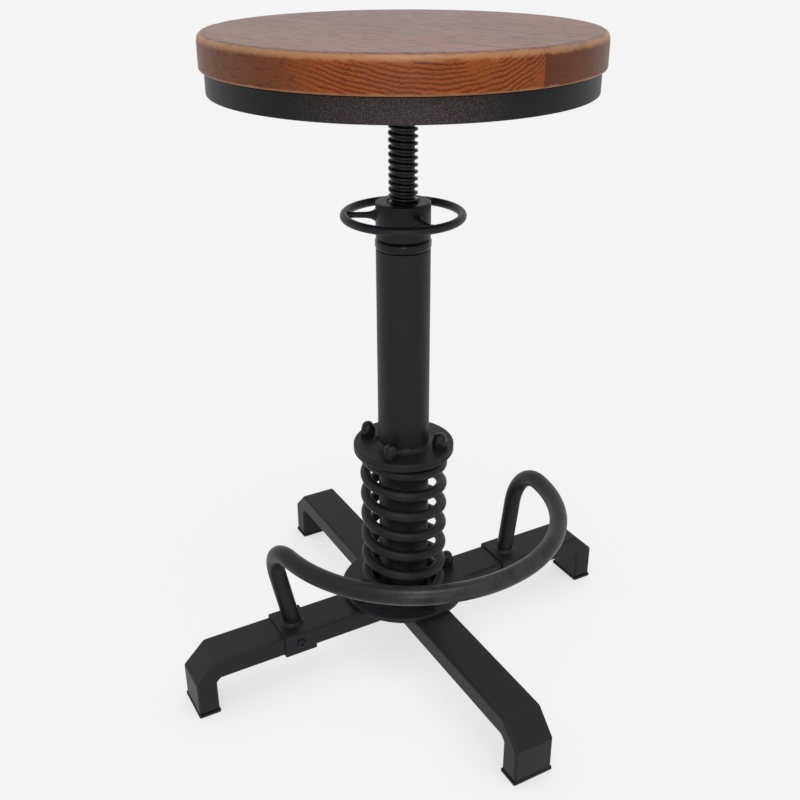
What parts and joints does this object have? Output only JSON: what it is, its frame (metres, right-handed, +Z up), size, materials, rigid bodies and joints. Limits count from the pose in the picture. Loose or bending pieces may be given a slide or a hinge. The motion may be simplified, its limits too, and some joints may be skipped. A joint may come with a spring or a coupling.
{
  "type": "stool",
  "caption": "Screw-lift stool with a round wooden seat, a sprung column on a four-legged tube base and a bent footrest bar.",
  "frame": {"origin": "on the floor, on the column's axis, midway between the four feet", "axes": "+Z up; +X along the right leg and -Y along the front leg, on the footrest's side"},
  "size_m": [0.4696, 0.4696, 0.609],
  "materials": {
    "black_coat": "fine textured powder coat, satin",
    "spring_coat": "powder coat over round spring wire",
    "stained_wood": "reddish brown stain under a satin varnish, edges rubbed",
    "oiled_steel": "blackened and oiled screw thread",
    "blackened_fasteners": "blackened steel",
    "coated_nuts": "coated with the flange, a little glossier on the domes",
    "nylon": "natural nylon",
    "gloss_nylon": "polished black nylon",
    "glide_rubber": "moulded black plastic"
  },
  "bodies": {
    "base": {"base_post": "black_coat", "stop_pin": "blackened_fasteners", "spring": "spring_coat", "base_plate": "black_coat", "base_bolts": "blackened_fasteners", "base_washers": "coated_nuts", "base_cap_nuts": "coated_nuts", "leg_beam_sides": "black_coat", "leg_beam_front": "black_coat", "leg_beam_back": "black_coat", "leg_foot_right": "black_coat", "glide_right": "glide_rubber", "leg_foot_back": "black_coat", "glide_back": "glide_rubber", "leg_foot_left": "black_coat", "glide_left": "glide_rubber", "leg_foot_front": "black_coat", "glide_front": "glide_rubber", "footrest_bar": "black_coat", "footrest_clamp_left": "black_coat", "footrest_clamp_right": "black_coat", "clamp_screws": "blackened_fasteners"},
    "column": {"column_nut": "oiled_steel", "column_tube": "black_coat", "column_flange": "black_coat", "sleeve_flange": "black_coat", "flange_screws": "blackened_fasteners", "flange_cap_nuts": "coated_nuts", "inner_sleeve": "black_coat"},
    "guide": {"guide_bush": "nylon"},
    "seat": {"seat_board_left": "stained_wood", "seat_board_middle": "stained_wood", "seat_board_right": "stained_wood", "seat_screws": "blackened_fasteners", "seat_band": "black_coat", "seat_spider": "black_coat", "seat_hub": "black_coat", "hub_pin": "blackened_fasteners", "lead_screw": "oiled_steel", "screw_end_washer": "blackened_fasteners", "screw_end_bolt": "blackened_fasteners"},
    "lock_washer": {"lock_ring": "gloss_nylon"},
    "lock_handle": {"lock_collar": "black_coat", "hand_ring": "black_coat", "hand_ring_spokes": "black_coat"}
  },
  "joints": [
    {"name": "suspension", "type": "slide", "parent": "base", "child": "column", "axis": [0, 0, -1], "range_m": [0, 0.02], "stiffness_N_per_m": 42000, "springref_m": -0.004, "deforming": ["spring"]},
    {"name": "seat_rise", "type": "slide", "parent": "column", "child": "guide", "axis": [0, 0, 1], "range_m": [-0.0721, 0.0721]},
    {"name": "seat_turn", "type": "hinge", "parent": "guide", "child": "seat", "pos_m": [0, 0, 0.3], "axis": [0, 0, -1], "range_deg": [-4320, 4320]},
    {"name": "lock_rise", "type": "slide", "parent": "column", "child": "lock_washer", "axis": [0, 0, 1], "range_m": [0, 0.0091]},
    {"name": "lock_turn", "type": "hinge", "parent": "lock_washer", "child": "lock_handle", "pos_m": [0, 0, 0.45], "axis": [0, 0, -1], "range_deg": [0, 540]}
  ],
  "couplings": [
    {"joint": "seat_rise", "follows": "seat_turn", "m_per_rad": 0.00095493},
    {"joint": "lock_rise", "follows": "lock_turn", "m_per_rad": 0.00095493}
  ]
}
